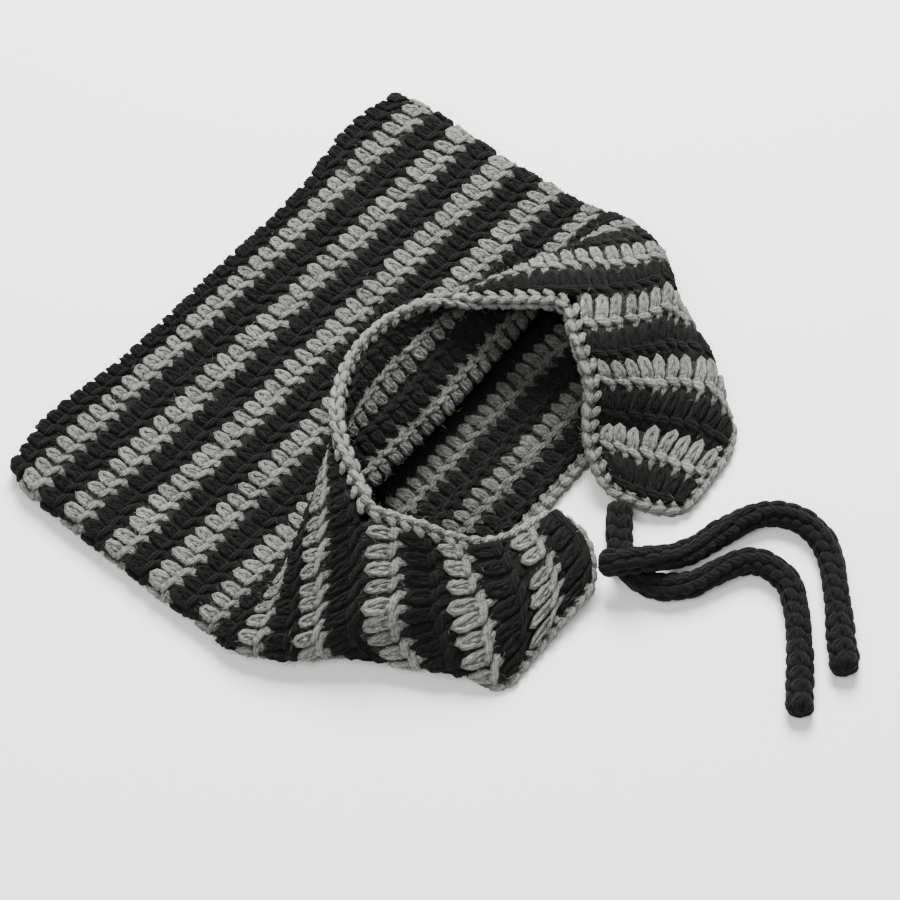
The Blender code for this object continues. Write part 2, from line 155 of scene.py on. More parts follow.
LEFT_CORD_ROUTE = (
    (-0.0068, -0.1416, 0.0134), (-0.0034, -0.1462, 0.0157), (0.0006, -0.1506, 0.0165),
    (0.005, -0.1542, 0.0157), (0.0104, -0.1576, 0.013), (0.0164, -0.1606, 0.0092),
    (0.023, -0.1634, 0.0061), (0.0305, -0.1659, FLOOR), (0.0395, -0.1682, FLOOR),
    (0.0496, -0.1716, FLOOR), (0.0594, -0.177, FLOOR), (0.0662, -0.1856, FLOOR),
    (0.0682, -0.196, FLOOR), (0.0646, -0.2074, FLOOR), (0.056, -0.2176, FLOOR),
    (0.0446, -0.2276, FLOOR), (0.033, -0.238, FLOOR), (0.0214, -0.248, FLOOR),
)
RIGHT_CORD_ROUTE = (
    (0.0216, -0.1276, 0.0068), (0.0134, -0.134, 0.0056), (0.0066, -0.1398, FLOOR),
    (0.0016, -0.1466, FLOOR), (-0.0002, -0.1548, FLOOR), (0.002, -0.163, FLOOR),
    (0.0076, -0.1702, FLOOR), (0.0158, -0.1756, FLOOR), (0.026, -0.1796, FLOOR),
    (0.0356, -0.1844, FLOOR), (0.0412, -0.1928, FLOOR), (0.041, -0.2028, FLOOR),
    (0.0342, -0.213, FLOOR), (0.0225, -0.2234, FLOOR), (0.008, -0.2346, FLOOR),
    (-0.006, -0.2444, FLOOR),
)
YARN_ROUND = 9.4        # millimetres round one strand of yarn, for its UV map
TONE_UNEVEN = 0.05      # how much the yarn's tone differs from stitch to stitch

# Loose hairs of the yarn
HAIR_SPACING = 24       # one for so many points of the yarn's mesh
HAIR_FROM_TONE = 0.3    # only where the yarn lies far enough out
HAIR_TONE = 0.6
HAIR_SHORTEST = 0.0018
HAIR_RISE = 0.0014      # their middles stand off by no more than this
HAIR_BEND = 0.12        # how far their middles are bent to a side, as a share of the length
HAIR_RADIUS = 0.00008   # four times a real fibre, so that it shows
HAIR_FACES = ((0, 1, 2), (0, 2, 3), (0, 3, 1), (4, 2, 1), (4, 3, 2), (4, 1, 3))
HAIR_PATTERN = 60.0     # their UV places lie anywhere in so many millimetres

# The two legs of one link: along the cord, across it and outwards in millimetres, and for both
# their width, thickness, sides and rings
CORD_LINK_LEGS = (
    ((-4.4, 0.6, 3.5), (-1.9, 1.7, 4.4), (1.3, 2.5, 4.6), (4.2, 1.3, 3.4)),
    ((-4.4, -0.6, 3.5), (-1.9, -1.7, 4.4), (1.3, -2.5, 4.6), (4.2, -1.3, 3.4)),
)
CORD_YARN = (4.3, 3.2, 8, 7)


def eased(share):
    """A share from 0 to 1 that starts and ends softly."""
    return share ** 2 * (3 - 2 * share)


def smooth(places, values, at):
    """Read a smooth line through values at many places; it never swings past a value."""
    places = np.asarray(places, float)
    values = np.asarray(values, float)
    at = np.atleast_1d(np.asarray(at, float))
    index = np.clip(np.searchsorted(places, at, side="right") - 1, 0, len(places) - 2)
    width = np.diff(places)[:, None]
    rise = np.diff(values, axis=0) / width
    same_way = rise[:-1] * rise[1:] > 0
    total = np.where(same_way, rise[:-1] + rise[1:], 1.0)
    inner = np.where(same_way, 2 * rise[:-1] * rise[1:] / total, 0.0)
    slope = np.concatenate((rise[:1], inner, rise[-1:]))
    share = (at[:, None] - places[index][:, None]) / width[index]
    return (values[index] * (1 + 2 * share) * (1 - share) ** 2
            + slope[index] * width[index] * share * (1 - share) ** 2
            + values[index + 1] * share ** 2 * (3 - 2 * share)
            + slope[index + 1] * width[index] * share ** 2 * (share - 1))


def soft(places, values, at, reach):
    """The same line with its bends rounded over a reach to both sides."""
    at = np.atleast_1d(np.asarray(at, float))
    return (smooth(places, values, at - reach) + 2 * smooth(places, values, at)
            + smooth(places, values, at + reach)) / 4


def unit(vectors):
    """The same ways as vectors of length one."""
    return vectors / np.maximum(np.linalg.norm(vectors, axis=-1, keepdims=True), 1e-12)


def turned(side, up, angle):
    """The way at an angle from a side way towards an upward one."""
    return side * np.cos(angle)[..., None] + up * np.sin(angle)[..., None]


def lengths_along(points):
    """How far each point of a line lies from the first, measured along the line."""
    return np.concatenate(([0.0], np.cumsum(np.linalg.norm(np.diff(points, axis=0), axis=1))))


def starts_of(counts):
    """Where each of several runs starts when they stand one after the other."""
    return np.concatenate(([0], np.cumsum(counts)[:-1]))


def read_all(items, name, width=1, kind=float):
    """One property of all the points, corners or faces of a mesh."""
    values = np.zeros(len(items) * width, kind)
    items.foreach_get(name, values)
    return values.reshape(-1, width) if width > 1 else values


def add_strand(points, width, thickness, sides, rings, taper=(1.0, 1.0)):
    """A tapered strand of yarn along a short line, in millimetres; its third axis is outwards."""
    bpy.ops.mesh.primitive_uv_sphere_add(segments=sides, ring_count=rings)
    made = bpy.context.object
    mesh = made.data
    steps = lengths_along(points)
    length = steps[-1]
    around_along = read_all(mesh.uv_layers.active.data, "uv", 2)
    place = np.zeros((len(mesh.vertices), 2))
    place[read_all(mesh.loops, "vertex_index", kind=int)] = around_along
    turn, share = 2 * math.pi * place[:, 0], place[:, 1]
    middle = smooth(steps, points, share * length)
    # The strand's way at a place is read over a twenty-fifth of its length to both sides
    nudge = length * 0.04
    along = unit(smooth(steps, points, share * length + nudge)
                 - smooth(steps, points, share * length - nudge))
    side = unit(np.cross(along, (0.0, 0.0, 1.0)))
    outwards = np.cross(side, along)
    # It is full along most of its length and round at both ends
    full = (1 - np.abs(2 * share - 1) ** 3) ** (1 / 3)
    full = (full * (taper[0] + (taper[1] - taper[0]) * share))[:, None]
    moved = middle + full / 2 * turned(-outwards * thickness, side * width, turn)
    mesh.vertices.foreach_set("co", moved.ravel())
    around_along *= (YARN_ROUND, length)
    mesh.uv_layers.active.data.foreach_set("uv", around_along.ravel())
    return made


def taken_pattern(strands):
    """Join strands into one pattern and take its points, faces and UV for laying copies."""
    bpy.ops.object.select_all(action="DESELECT")
    shell = np.repeat(np.arange(len(strands)), [len(strand.data.polygons) for strand in strands])
    for strand in strands:
        strand.select_set(True)
    bpy.context.view_layer.objects.active = strands[0]
    bpy.ops.object.join()
    whole = bpy.context.object
    mesh = whole.data
    pattern = {"points": read_all(mesh.vertices, "co", 3),
               "sizes": read_all(mesh.polygons, "loop_total", kind=int),
               "corners": read_all(mesh.loops, "vertex_index", kind=int),
               "uv": read_all(mesh.uv_layers.active.data, "uv", 2),
               "shell": shell}
    bpy.data.objects.remove(whole)
    return pattern


def laid_copies(pattern, points, tone):
    """Copies of a pattern whose points have been laid in place: copies by points by three."""
    copies, count = points.shape[:2]
    copy = np.arange(copies)[:, None]
    return {"points": points.reshape(-1, 3), "sizes": np.tile(pattern["sizes"], copies),
            "corners": (pattern["corners"] + copy * count).ravel(),
            "uv": np.tile(pattern["uv"], (copies, 1)), "tone": tone.ravel(),
            "shell": (pattern["shell"] + copy * (pattern["shell"][-1] + 1)).ravel()}


def wall_grid(points, closed_round, closed_along, uv_size, tone):
    """Quads over a grid of points, lines by places, with a UV map in millimetres."""
    lines, places = points.shape[:2]
    first = np.arange(lines if closed_along else lines - 1)[:, None]
    across = np.arange(places if closed_round else places - 1)[None, :]
    after, beyond = (first + 1) % lines, (across + 1) % places
    corners = np.stack((first * places + across, first * places + beyond,
                        after * places + beyond, after * places + across), axis=-1)
    steps = np.stack(np.broadcast_arrays(across, first), axis=-1)[:, :, None, :]
    steps = steps + ((0, 0), (1, 0), (1, 1), (0, 1))
    quads = corners.size // 4
    return {"points": points.reshape(-1, 3), "sizes": np.full(quads, 4),
            "corners": corners.ravel(), "uv": (steps * uv_size).reshape(-1, 2),
            "tone": np.full(lines * places, tone), "shell": np.zeros(quads, int)}


def pressed(points):
    """Yarn that meets the table is pressed flat on it."""
    held = points.copy()
    give = 0.5 * MM
    low = held[..., 2] < give
    held[..., 2] = np.where(low, give * np.exp(np.minimum(held[..., 2] / give - 1, 0)),
                            held[..., 2])
    return held


def joined(shares, key, counts=None):
    """One property of all the shares of yarn; numbers are counted on from share to share."""
    if counts is None:
        return np.concatenate([share[key] for share in shares])
    return np.concatenate([share[key] + start for share, start in zip(shares, starts_of(counts))])


def turn_outwards(mesh, points, shell):
    """Turn a mesh's faces outwards; shell is the number of the closed strand each is part of."""
    builder = bmesh.new()
    builder.from_mesh(mesh)
    bmesh.ops.recalc_face_normals(builder, faces=builder.faces)
    builder.to_mesh(mesh)
    # This can leave a squeezed strand inside out, so each strand's volume is looked at as well
    mesh.calc_loop_triangles()
    triangles = read_all(mesh.loop_triangles, "vertices", 3, int)
    faces = read_all(mesh.loop_triangles, "polygon_index", kind=int)
    first, second, third = points[triangles].transpose(1, 0, 2)
    volumes = np.bincount(shell[faces], (first * np.cross(second, third)).sum(axis=1))
    builder.faces.ensure_lookup_table()
    bmesh.ops.reverse_faces(builder, faces=[builder.faces[index]
                                            for index in np.flatnonzero(volumes[shell] < 0)])
    builder.to_mesh(mesh)
    builder.free()


def yarn_mesh(name, shares):
    """One mesh from all the shares of yarn of a piece."""
    points = pressed(joined(shares, "points"))
    corners = joined(shares, "corners", [len(share["points"]) for share in shares])
    shell = joined(shares, "shell", [share["shell"][-1] + 1 for share in shares])
    sizes = joined(shares, "sizes")
    mesh = bpy.data.meshes.new(name)
    mesh.vertices.add(len(points))
    mesh.vertices.foreach_set("co", points.ravel())
    mesh.loops.add(len(corners))
    mesh.loops.foreach_set("vertex_index", corners.astype(np.int32))
    mesh.polygons.add(len(sizes))
    mesh.polygons.foreach_set("loop_start", starts_of(sizes).astype(np.int32))
    mesh.polygons.foreach_set("use_smooth", np.ones(len(sizes), bool))
    uv_layer = mesh.uv_layers.new(name="yarn")
    uv_layer.data.foreach_set("uv", joined(shares, "uv").ravel())
    tone = mesh.attributes.new("tone", "FLOAT", "POINT")
    tone.data.foreach_set("value", joined(shares, "tone"))
    mesh.update(calc_edges=True)
    turn_outwards(mesh, points, shell)
    return mesh


def loose_hairs(mesh, longest, seed):
    """Hairs of wool that stand off the yarn here and there, each a bent sliver of six faces."""
    rng = np.random.default_rng(seed)
    count = round(len(mesh.vertices) / HAIR_SPACING)
    tone = read_all(mesh.attributes["tone"].data, "value")
    chosen = rng.choice(np.flatnonzero(tone > HAIR_FROM_TONE), count)
    root = read_all(mesh.vertices, "co", 3)[chosen]
    out = read_all(mesh.vertices, "normal", 3)[chosen]
    way = unit(np.cross(out, rng.normal(size=out.shape)))
    side = np.cross(way, out)
    length = rng.uniform(HAIR_SHORTEST, longest, (count, 1))
    rise = np.minimum(length * rng.uniform(0.05, 0.5, (count, 1)), HAIR_RISE)
    middle = (root + way * length * 0.5 + out * rise
              + side * length * rng.normal(0.0, HAIR_BEND, (count, 1)))
    tip = root + way * length + out * rise * rng.uniform(0.3, 1.3, (count, 1))
    ring = [middle + HAIR_RADIUS * turned(side, out, corner * 2 * math.pi / 3)
            for corner in range(3)]
    points = np.stack([root - out * 0.2 * MM, *ring, tip], axis=1)
    faces = len(HAIR_FACES)
    hair = {"sizes": np.full(faces, 3), "corners": np.array(HAIR_FACES).ravel(),
            "uv": np.zeros((faces * 3, 2)), "shell": np.zeros(faces, int)}
    hairs = laid_copies(hair, points, np.full(points.shape[:2], HAIR_TONE))
    hairs["uv"] = np.repeat(rng.uniform(0.0, HAIR_PATTERN, (count, 2)), faces * 3, axis=0)
    return hairs


def add_piece(name, shares, material, longest_hair, seed):
    """One object from all its shares of yarn and the hairs that stand off it."""
    bare = yarn_mesh(name, shares)
    shares = shares + [loose_hairs(bare, longest_hair, seed)]
    bpy.data.meshes.remove(bare)
    mesh = yarn_mesh(name, shares)
    mesh.materials.append(material)
    piece = bpy.data.objects.new(name, mesh)
    bpy.context.collection.objects.link(piece)
    return piece


def wool_yarn(name, deep, middle, high, sheen):
    """Spun and plied wool yarn, matt, hairy and uneven. Its plies turn round a strand, its
    fibres run along them, and the tone attribute paints shade: low-toned, deeper yarn takes the
    deep colour."""
    made = bpy.data.materials.new(name)
    made.use_nodes = True
    tree = made.node_tree
    surface = tree.nodes["Principled BSDF"].inputs
    uv = add_node(tree, "ShaderNodeUVMap", {"uv_map": "yarn"}, {}).outputs["UV"]
    body = add_node(tree, "ShaderNodeTexCoord", {}, {}).outputs["Object"]
    tone = add_node(tree, "ShaderNodeAttribute", {"attribute_name": "tone"}, {}).outputs["Fac"]
    twisted = add_node(tree, "ShaderNodeMapping", {}, {
        "Vector": uv, "Rotation": (0.0, 0.0, math.radians(-17))}).outputs["Vector"]
    # Plies are 1.2 mm wide, which is 0.26 in the wave's scale
    plies = add_node(tree, "ShaderNodeTexWave", {"wave_type": "BANDS", "bands_direction": "X"}, {
        "Vector": twisted, "Scale": 0.26, "Distortion": 1.6, "Detail": 2.0,
        "Detail Scale": 1.5}).outputs["Fac"]
    # Fibres are 0.02 mm thick, too fine to show, and are drawn as tufts of about 0.5 by 1.2 mm
    stretched = add_node(tree, "ShaderNodeMapping", {}, {
        "Vector": twisted, "Scale": (2.0, 0.85, 1.0)}).outputs["Vector"]
    fibres = add_node(tree, "ShaderNodeTexNoise", {}, {
        "Vector": stretched, "Scale": 1.0, "Detail": 4.0, "Roughness": 0.75}).outputs["Fac"]
    # Uneven dye and fluff, in patches of about 3 mm
    patches = add_node(tree, "ShaderNodeTexNoise", {}, {
        "Vector": body, "Scale": 330.0, "Detail": 2.0}).outputs["Fac"]
    # What their sum has above 1.25 picks the colour
    total = tone
    for pattern, weight in ((fibres, 2.0), (plies, 0.16), (patches, 0.3)):
        total = add_node(tree, "ShaderNodeMath", {"operation": "MULTIPLY_ADD"}, {
            0: pattern, 1: weight, 2: total}).outputs["Value"]
    lowered = add_node(tree, "ShaderNodeMath", {"operation": "SUBTRACT"}, {0: total, 1: 1.25})
    ramp = add_node(tree, "ShaderNodeValToRGB", {}, {"Fac": lowered.outputs["Value"]})
    ramp.color_ramp.elements[0].color = linear(deep)
    ramp.color_ramp.elements[1].color = linear(high)
    ramp.color_ramp.elements.new(0.5).color = linear(middle)
    tree.links.new(ramp.outputs["Color"], surface["Base Color"])
    fibre_bump = add_node(tree, "ShaderNodeBump", {}, {
        "Height": fibres, "Strength": 0.9, "Distance": 1.2 * MM})
    ply_bump = add_node(tree, "ShaderNodeBump", {}, {
        "Height": plies, "Strength": 0.8, "Distance": 0.45 * MM,
        "Normal": fibre_bump.outputs["Normal"]})
    tree.links.new(ply_bump.outputs["Normal"], surface["Normal"])
    for socket, value in (("Roughness", 0.92), ("Specular IOR Level", 0.06),
                          ("Sheen Weight", sheen), ("Sheen Roughness", 0.45)):
        surface[socket].default_value = value
    return made


def line_frames(points, twist):
    """Ways across and above a line that turn no more than they must, but for an even twist."""
    along = unit(np.gradient(points, axis=0))
    above = np.zeros_like(along)
    above[0] = unit(np.array((0.0, 0.0, 1.0)) - along[0] * along[0][2])
    for index in range(1, len(points)):
        carried = above[index - 1] - along[index] * np.dot(above[index - 1], along[index])
        above[index] = unit(carried)
    across = np.cross(along, above)
    turn = np.linspace(0.0, twist, len(points))
    return turned(across, above, turn), turned(above, -across, turn)


def read_line(steps, values, at):
    """Read several columns of values along a line."""
    return np.stack([np.interp(at, steps, values[:, column])
                     for column in range(values.shape[1])], axis=-1)


# Dyed black, it swallows most of the light: its stitches show as a faint grey sheen on the fluff.
# Its deep colour is a little lighter than the rest: painted fill light in the hollows.
black_wool = wool_yarn("black_wool_yarn", "#1A1A19", "#121211", "#141312", 0.045)

cord_link = taken_pattern([add_strand(leg, *CORD_YARN) for leg in CORD_LINK_LEGS])
for cord_name, route in (("right_cord", RIGHT_CORD_ROUTE), ("left_cord", LEFT_CORD_ROUTE)):
    steps = lengths_along(route)
    path = soft(steps, route, np.linspace(0.0, steps[-1], CORD_POINTS), CORD_SOFTNESS)
    start, end = path[0], path[-1]
    path = np.vstack((start + unit(start - path[CORD_END_POINTS]) * CORD_NECK, path,
                      end + unit(end - path[-CORD_END_POINTS - 1]) * CORD_TAIL))
    lengths = lengths_along(path)
    length = lengths[-1]
    across, above = line_frames(path, CORD_TWIST)
    # The plain core, rounded at both ends
    ends = np.array((0.0, 0.1, 0.35, 0.7))
    stations = np.concatenate((ends, np.arange(1.0, CORE_STEPS - 0.5), CORE_STEPS - ends[2::-1]))
    stations = stations / CORE_STEPS * length
    from_end = np.minimum(np.minimum(stations, length - stations), CORE_RADIUS)
    radius = np.sqrt(np.maximum(1 - (1 - from_end / CORE_RADIUS) ** 2, CORE_END ** 2))
    here, side, up = (read_line(lengths, values, stations)[:, None]
                      for values in (path, across, above))
    turn = np.arange(CORE_SIDES) / CORE_SIDES * 2 * math.pi
    ring = here + CORE_RADIUS * radius[:, None, None] * turned(side, up, turn)
    core = wall_grid(ring, True, False, (0.8, 4.0), CORE_TONE)
    # The links, side by side round the core
    count = round(length / CORD_LINK)
    rng = np.random.default_rng(len(cord_name))
    shape = cord_link["points"] * MM
    column = np.repeat(np.arange(CORD_COLUMNS), count)[:, None]
    link = np.tile(np.arange(count), CORD_COLUMNS)[:, None]
    places = (link + 0.5 + column / CORD_COLUMNS) * length / count
    places = np.clip(places, FIRST_LINK, length - LAST_LINK)
    turns = 2 * math.pi * column / CORD_COLUMNS + rng.normal(0.0, LINK_TURN, column.shape)
    size = rng.normal(1.0, LINK_SIZES, column.shape)
    spots = places + shape[:, 0] * size
    reach = shape[:, 2] * (1 + 0.5 * (size - 1))
    to_end = np.clip((spots - length + SWELL_LENGTH) / SWELL_LENGTH, 0.0, 1.0)
    reach = reach * (1 + END_SWELL[cord_name] * eased(to_end))
    # At the very ends they are half as far out
    end_room = np.clip(np.minimum(spots, length - spots) / END_ROUNDING, 0.0, 1.0)
    reach = reach * np.sqrt(1 - (1 - end_room) ** 2 * 0.75)
    here, side, up = (read_line(lengths, values, spots) for values in (path, across, above))
    laid = here + reach[..., None] * turned(side, up, turns + shape[:, 1] / LINK_RADIUS)
    # Painted shade: a link's yarn gets a lower tone the nearer it lies to the cord's middle
    tone = 0.25 + 0.5 * (reach - LINK_LOW) / LINK_RELIEF
    tone = tone + rng.normal(0.0, TONE_UNEVEN, column.shape)
    links = laid_copies(cord_link, laid, tone)
    piece = add_piece(f"{cord_name}_crochet", [core, links], black_wool, CORD_HAIR,
                      len(route))
    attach(piece, "root")
    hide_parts(cord_name)

# Crocheted rows
# Rows of thick wool, black and grey in turn, are crocheted round the hat from the crown and on into
# the ear flaps. Each stitch shows a fat doubled loop, a strand across its foot and a point between
# its neighbours below. The wrong side, which the turned-up band shows, has leaning loops.

FLAT_WIDTH = 0.270      # from side fold to side fold
ROW_HEIGHT = 0.01284
WALL = 0.0046           # thickness of the cloth
PANEL_GAP = 0.0028      # between the front and back panels where they lie on each other
RIM_RISE = 0.041        # the unit of the cloth's lift
BAG_ROWS = 15
FLAP_ROWS = 6
LAST_ROW = BAG_ROWS + FLAP_ROWS
MIDDLE_ROW = 7.5        # this row line is the middle of the frame
FLAP_BLEND_ROWS = 3.0   # so far down a flap still follows the bag's edge
FLAP_ROOT_ROWS = 1.5    # and its cloth starts so far above it
PAST_CROWN = 0.15       # the net of the bag's cloth reaches so many rows past its crown
PAST_NECK = 0.1         # and past its last row
CROWN_SHOULDER = 0.45   # the crown's rolled edge starts at this row line
CROWN_REACH = 0.0018    # and stands so far past its shoulder
HALF_WIDTH = FLAT_WIDTH / 2
FOLD_RADIUS = (WALL + PANEL_GAP) / 2
FOLD_LEVEL = WALL / 2 + FOLD_RADIUS
FOLD_START = HALF_WIDTH - FOLD_RADIUS * math.pi / 2
WHOLE_ROUND = 4.0       # the way round the hat, in half widths from the forehead

# The form in which the cloth lies, as places round the hat in half widths and moves away from
# lying flat: across in half widths, along in rows, lift in rim rises.
COLUMNS = (0.0, 0.333, 0.556, 0.704, 0.852, 1.0, 1.148, 1.481, 2.0)
FLAP_FRONT = 0.704
FLAP_BACK = 1.444
FLAP_WIDTH = FLAP_BACK - FLAP_FRONT
FLAP_COLUMNS = (0.0, 1 / 3, 2 / 3, 1.0)
STILL = (0.0, 0.0, 0.0)
SIDE_PULLED_IN = (STILL,) * 4 + ((-0.02, 0.0, 0.0),) * 3
RIGHT_SECTIONS = (
    # row, forehead, brow, temple, corner, ear, side, behind, nape corner, nape; the columns that
    # are left out at the end lie still
    (0.0, ((0.0, 0.52, 0.0), (0.0, 0.6, 0.0), (0.0, 0.32, 0.0), (0.0, -0.2, 0.0),
           (-0.02, -0.2, 0.0), (-0.085, 0.65, 0.0), (-0.02, -0.2, 0.0), (0.0, 0.36, 0.0),
           (0.0, 0.52, 0.0))),
    (1.8, SIDE_PULLED_IN),
    (5.0, SIDE_PULLED_IN),
    (8.0, ()),
    (8.8, ()),
    (9.7, (STILL, STILL, (0.0, 0.05, 0.01), (0.01, -0.1, 0.04), (0.01, -0.25, 0.08),
           (0.01, -0.15, 0.05))),
    (10.7, ((0.0, -0.08, 0.07), (-0.01, -0.13, 0.07), (0.01, -0.25, 0.09), (0.02, -0.55, 0.15),
            (0.03, -0.6, 0.2), (0.03, -0.22, 0.1), (0.01, 0.0, 0.0))),
    (11.25, ((0.0, -0.32, 0.175), (-0.01, -0.4, 0.18), (0.01, -0.57, 0.2), (0.02, -0.95, 0.29),
             (0.03, -0.92, 0.28), (0.03, -0.32, 0.12), (0.02, 0.0, 0.0))),
    (11.8, ((0.0, -1.25, 0.275), (-0.01, -1.4, 0.29), (0.0, -1.45, 0.33), (0.02, -1.5, 0.39),
            (0.02, -1.27, 0.35), (0.02, -0.5, 0.12), (0.01, 0.0, 0.0))),
    (12.3, ((0.0, -2.3, 0.31), (-0.01, -2.45, 0.33), (0.0, -2.45, 0.42), (0.02, -2.05, 0.47),
            (0.0, -1.55, 0.42), (0.02, -0.6, 0.12), (0.01, 0.0, 0.0))),
    (13.5, ((0.0, -4.5, 0.52), (0.0, -4.6, 0.62), (-0.01, -3.75, 0.7), (-0.03, -2.9, 0.68),
            (-0.07, -1.6, 0.59), (-0.07, -0.85, 0.41), (0.075, -0.2, 0.04), (0.01, 0.0, 0.0))),
    (15.0, ((0.0, -7.2, 0.74), (-0.04, -6.15, 0.74), (-0.11, -4.45, 0.78), (-0.14, -2.9, 0.78),
            (-0.175, -1.9, 0.64), (-0.18, -1.2, 0.49), (0.035, -0.55, 0.09), (0.01, 0.0, 0.0))),
)
LEFT_SECTIONS = (
    # the same without the forehead, which both sides share
    (0.0, ((0.0, 0.55, 0.0), (0.0, 0.34, 0.0), (0.0, -0.16, 0.0), (0.0, -0.12, 0.0),
           (-0.09, 0.65, 0.0), (0.0, -0.12, 0.0), (0.0, 0.36, 0.0), (0.0, 0.52, 0.0))),
    (1.8, ()),
    (8.8, ()),
    (9.7, (STILL, (-0.01, 0.15, 0.01), (-0.01, 0.15, 0.01), (-0.01, 0.15, 0.01),
           (-0.01, 0.15, 0.0))),
    (10.7, ((-0.01, -0.13, 0.07), (0.0, -0.2, 0.075), (0.0, -0.2, 0.075), (0.0, -0.2, 0.06),
            (0.0, -0.15, 0.015))),
    (11.25, ((-0.01, -0.4, 0.18), (0.01, -0.45, 0.19), (0.0, -0.45, 0.18), (-0.01, -0.38, 0.13),
             (-0.01, -0.25, 0.03))),
    (11.8, ((-0.01, -1.4, 0.29), (0.0, -1.3, 0.32), (-0.015, -1.08, 0.31), (-0.035, -0.67, 0.165),
            (-0.04, -0.25, 0.04), (-0.015, 0.0, 0.0))),
    (12.3, ((0.0, -2.35, 0.33), (0.0, -2.1, 0.41), (-0.03, -1.6, 0.4), (-0.06, -0.9, 0.21),
            (-0.07, -0.2, 0.05), (-0.03, 0.0, 0.0))),
    (13.5, ((-0.02, -4.3, 0.6), (-0.04, -3.1, 0.63), (-0.06, -2.3, 0.54), (-0.11, -1.5, 0.3),
            (-0.15, -0.55, 0.1), (-0.07, 0.05, 0.02), (-0.01, 0.0, 0.0))),
    (15.0, ((-0.01, -5.65, 0.75), (-0.13, -4.0, 0.81), (-0.22, -2.9, 0.79), (-0.265, -2.1, 0.58),
            (-0.305, -1.1, 0.37), (-0.11, 0.2, 0.06), (-0.01, 0.1, 0.0))),
)
RIGHT_FLAP = (
    # row, front edge, front third, back third, back edge
    (16.5, ((0.46, 13.5, 0.93), (0.645, 14.55, 0.68), (0.82, 15.95, 0.26), (0.68, 16.4, 0.07))),
    (18.0, ((0.39, 14.6, 0.73), (0.535, 15.9, 0.54), (0.67, 17.4, 0.29), (0.65, 18.3, 0.1))),
    (19.5, ((0.29, 15.3, 0.44), (0.365, 16.45, 0.32), (0.435, 17.7, 0.22), (0.485, 18.85, 0.1))),
    (21.0, ((0.21, 16.7, 0.22), (0.22, 17.45, 0.2), (0.25, 18.25, 0.15), (0.3, 18.95, 0.1))),
)
LEFT_FLAP = (
    # row, front edge, front third, back third, back edge
    (16.5, ((0.44, 13.75, 0.95), (0.54, 14.95, 0.68), (0.65, 16.55, 0.24), (0.6, 16.7, 0.07))),
    (18.0, ((0.36, 14.9, 0.83), (0.41, 16.35, 0.63), (0.51, 17.8, 0.27), (0.555, 18.45, 0.09))),
    (19.5, ((0.18, 15.9, 0.59), (0.215, 17.1, 0.44), (0.29, 17.9, 0.26), (0.37, 18.4, 0.12))),
    (21.0, ((0.01, 16.05, 0.41), (0.01, 17.1, 0.33), (0.06, 18.03, 0.29), (0.115, 18.47, 0.21))),
)
FLAPS = {1: RIGHT_FLAP, -1: LEFT_FLAP}
PLACE_SOFTNESS = 0.11   # how far the form's bends are rounded round the hat
ROW_SOFTNESS = 0.5      # and down the rows

# The net of points in the cloth that the stitches are laid on
ROW_STEP = 0.05         # between its lines, in rows
BAG_POINTS = 401        # points round the hat
FLAP_POINTS = 75        # points across a flap
ROUND_REACH = 3         # the cloth's ways are read over so many points round the hat
DOWN_REACH = 4          # and down the rows, to both sides

# The stitches
STITCH_PITCH = 0.00692  # along the row: 78 stitches round the flat bag
FLAP_PITCHES = {1: 0.0068, -1: 0.0078}  # the left flap is pulled wider
CLOTH_HAIR = 0.0055     # the longest loose hairs of the cloth
BASE_HALF = 0.0013      # half the thickness of the plain layer under the stitches
COLOUR_SHIFT = {"black": 0.0, "grey": 0.22}  # it starts so many rows below the row line
TONE_PER_MM = 0.26      # painted shade: for each millimetre further out, yarn's tone rises by this
INSIDE_PAINTED_SHADE = 0.22     # painted shade for the hat's shaded inside: the inner face's tone is lowered by this
FIRST_INSIDE_ROW = 9    # the inner face shows from here on
# How uneven the stitches are: shares of their size, but shift in metres and sink in rows
LEAN, SIZES, STRETCH, RISE = 0.085, 0.07, 0.055, 0.06
SHIFT = 0.0003
SINK = 0.026
ROUGHNESS = 0.00024     # how uneven a strand's surface is

# Strands of one stitch on the right side: across, towards the neck and outwards in millimetres,
# with width, thickness, sides, rings and the taper from first to last end: the arch of the loop,
# a slim strand inside it, the strand across its foot, and last the point below it
RIGHT_SIDE = (
    (((-1.1, 10.6, 1.0), (-1.85, 7.8, 1.7), (-1.7, 5.2, 1.9), (-1.25, 3.1, 1.8), (-0.1, 1.9, 1.5),
      (1.1, 3.0, 1.8), (1.6, 5.1, 1.9), (1.9, 7.8, 1.7), (1.4, 10.4, 1.0)), 2.8, 2.5, 8, 12),
    (((-0.3, 3.2, 1.5), (0.0, 6.0, 1.9), (0.3, 9.8, 1.5)), 2.4, 2.0, 6, 5),
    (((-3.6, 8.9, 1.1), (-0.8, 9.8, 1.8), (2.2, 10.9, 1.8), (5.2, 12.2, 1.1)),
     3.7, 2.5, 8, 7, (1.0, 0.9)),
    (((3.4, 10.4, 1.1), (3.45, 12.8, 1.6), (3.5, 16.6, 1.2)), 6.4, 2.0, 6, 6, (1.0, 0.12)),
)
